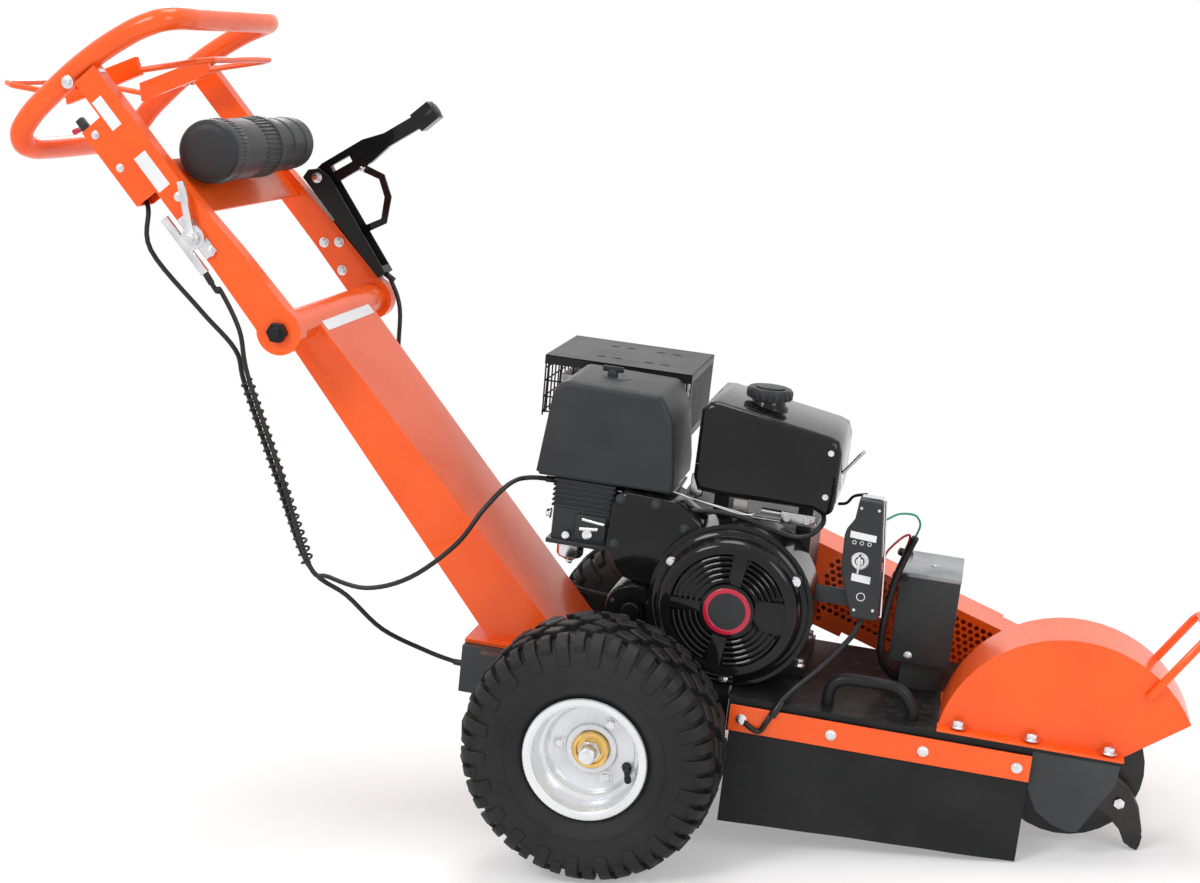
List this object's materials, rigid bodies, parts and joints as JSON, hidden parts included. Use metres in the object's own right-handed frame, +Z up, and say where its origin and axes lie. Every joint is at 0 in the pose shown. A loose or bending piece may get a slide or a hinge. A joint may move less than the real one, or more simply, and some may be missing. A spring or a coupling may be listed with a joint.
{
  "type": "stump grinder",
  "caption": "Walk-behind stump grinder: wheeled steel deck with petrol engine, belt-driven toothed cutter wheel under a guard, and a folding handle with controls.",
  "frame": {"origin": "middle of the machine's footprint, on the ground it stands on", "axes": "+X from the handle towards the cutter, +Y from the starter side to the belt side, +Z up"},
  "size_m": [1.7318, 0.694, 1.2452],
  "materials": {
    "orange_paint": "gloss",
    "black_paint": "gloss",
    "grey_paint": "satin",
    "bare_steel": "machined",
    "zinc_plate": "plated",
    "silver_paint": "satin",
    "yellow_zinc": "plated",
    "rubber": "matte",
    "tyre_rubber": "matte",
    "dark_plastic": "textured",
    "cast_aluminium": "painted cast"
  },
  "bodies": {
    "chassis": {"deck": "black_paint", "rear_frame": "grey_paint", "axle": "zinc_plate", "mast": "orange_paint", "side_plate_near": "grey_paint", "side_plate_far": "black_paint", "bearing_near": "cast_aluminium", "bearing_far": "cast_aluminium", "skirt_flap": "rubber", "skirt_strip": "orange_paint", "lift_handle": "black_paint", "cutter_guard": "orange_paint", "drive_belt": "rubber", "belt_guard": "orange_paint", "engine_block": "cast_aluminium", "cylinder": "cast_aluminium", "fan_cover": "black_paint", "recoil_cover": "black_paint", "starter_motor": "black_paint", "carburettor": "black_paint", "air_cleaner_cover": "dark_plastic", "muffler": "bare_steel", "muffler_guard": "black_paint", "fuel_tank": "black_paint", "key_switch_box": "dark_plastic", "battery_box": "grey_paint", "battery": "black_paint", "stop_cable": "rubber", "throttle_cable": "rubber", "clutch_cable": "rubber"},
    "wheel_near": {"tyre_near": "tyre_rubber", "rim_near": "silver_paint", "hub_near": "yellow_zinc"},
    "wheel_far": {"tyre_far": "tyre_rubber", "rim_far": "silver_paint", "hub_far": "yellow_zinc"},
    "cutter": {"cutter_shaft": "bare_steel", "cutter_disc": "black_paint", "cutter_pulley": "cast_aluminium", "tooth_1": "black_paint", "tooth_2": "black_paint", "tooth_3": "black_paint"},
    "crank": {"crankshaft": "bare_steel"},
    "idler_arm": {"idler_arm": "grey_paint"},
    "idler": {"idler_pulley": "bare_steel"},
    "key": {"ignition_key": "zinc_plate"},
    "fuel_cap": {"fuel_cap": "dark_plastic"},
    "handle": {"arm_near": "orange_paint", "arm_far": "orange_paint", "fold_pin": "black_paint", "loop_handle": "orange_paint", "cross_plate": "orange_paint", "canister": "dark_plastic", "throttle_body": "zinc_plate", "clutch_bracket": "black_paint"},
    "bail": {"bail": "orange_paint"},
    "canister_cap": {"canister_cap": "dark_plastic"},
    "throttle_lever": {"throttle_lever": "zinc_plate"},
    "clutch_lever": {"clutch_lever": "black_paint"},
    "clutch_link": {"clutch_link": "grey_paint"}
  },
  "joints": [
    {"name": "wheel_near_spin", "type": "hinge", "parent": "chassis", "child": "wheel_near", "pos_m": [0.02138, -0.272, 0.185], "axis": [0, 1, 0], "continuous": true},
    {"name": "wheel_far_spin", "type": "hinge", "parent": "chassis", "child": "wheel_far", "pos_m": [0.02138, 0.272, 0.185], "axis": [0, 1, 0], "continuous": true},
    {"name": "cutter_spin", "type": "hinge", "parent": "chassis", "child": "cutter", "pos_m": [0.67189, 0, 0.12127], "axis": [0, 1, 0], "continuous": true},
    {"name": "crank_spin", "type": "hinge", "parent": "chassis", "child": "crank", "pos_m": [0.20816, 0, 0.35921], "axis": [0, 1, 0], "continuous": true},
    {"name": "idler_swing", "type": "hinge", "parent": "chassis", "child": "idler_arm", "pos_m": [0.3205, 0.12, 0.15453], "axis": [0, 1, 0], "range_deg": [-7, 0]},
    {"name": "idler_spin", "type": "hinge", "parent": "idler_arm", "child": "idler", "pos_m": [0.41141, 0.16, 0.16163], "axis": [0, 1, 0], "continuous": true},
    {"name": "key_turn", "type": "hinge", "parent": "chassis", "child": "key", "pos_m": [0.39644, -0.186, 0.42869], "axis": [0, 1, 0], "range_deg": [0, 80]},
    {"name": "fuel_cap_turn", "type": "hinge", "parent": "chassis", "child": "fuel_cap", "pos_m": [0.2611, -0.04, 0.64133], "axis": [0.1673, 0, 0.9859], "range_deg": [0, 90]},
    {"name": "handle_fold", "type": "hinge", "parent": "chassis", "child": "handle", "pos_m": [-0.4196, 0, 0.77814], "axis": [0, 1, 0], "range_deg": [0, 75], "deforming": ["stop_cable", "throttle_cable", "clutch_cable"]},
    {"name": "bail_squeeze", "type": "hinge", "parent": "handle", "child": "bail", "pos_m": [-0.70708, 0, 1.14199], "axis": [0, 1, 0], "range_deg": [-8, 8], "stiffness_Nm_per_rad": 6},
    {"name": "canister_cap_turn", "type": "hinge", "parent": "handle", "child": "canister_cap", "pos_m": [-0.52329, -0.118, 1.03771], "axis": [0, 1, 0], "range_deg": [0, 120]},
    {"name": "throttle_turn", "type": "hinge", "parent": "handle", "child": "throttle_lever", "pos_m": [-0.53228, -0.23, 0.9192], "axis": [0, 1, 0], "range_deg": [-25, 60]},
    {"name": "clutch_pull", "type": "hinge", "parent": "handle", "child": "clutch_lever", "pos_m": [-0.49118, 0.1984, 0.97973], "axis": [0, 1, 0], "range_deg": [-35, 0]},
    {"name": "clutch_link_swing", "type": "hinge", "parent": "clutch_lever", "child": "clutch_link", "pos_m": [-0.41887, 0.2074, 0.98894], "axis": [0, 1, 0], "range_deg": [0, 35]}
  ],
  "couplings": [
    {"joint": "crank_spin", "follows": "cutter_spin", "ratio": 1.15},
    {"joint": "idler_spin", "follows": "cutter_spin", "ratio": -2.0909},
    {"joint": "clutch_link_swing", "follows": "clutch_pull", "ratio": -1},
    {"joint": "idler_swing", "follows": "clutch_pull", "ratio": 0.2}
  ]
}
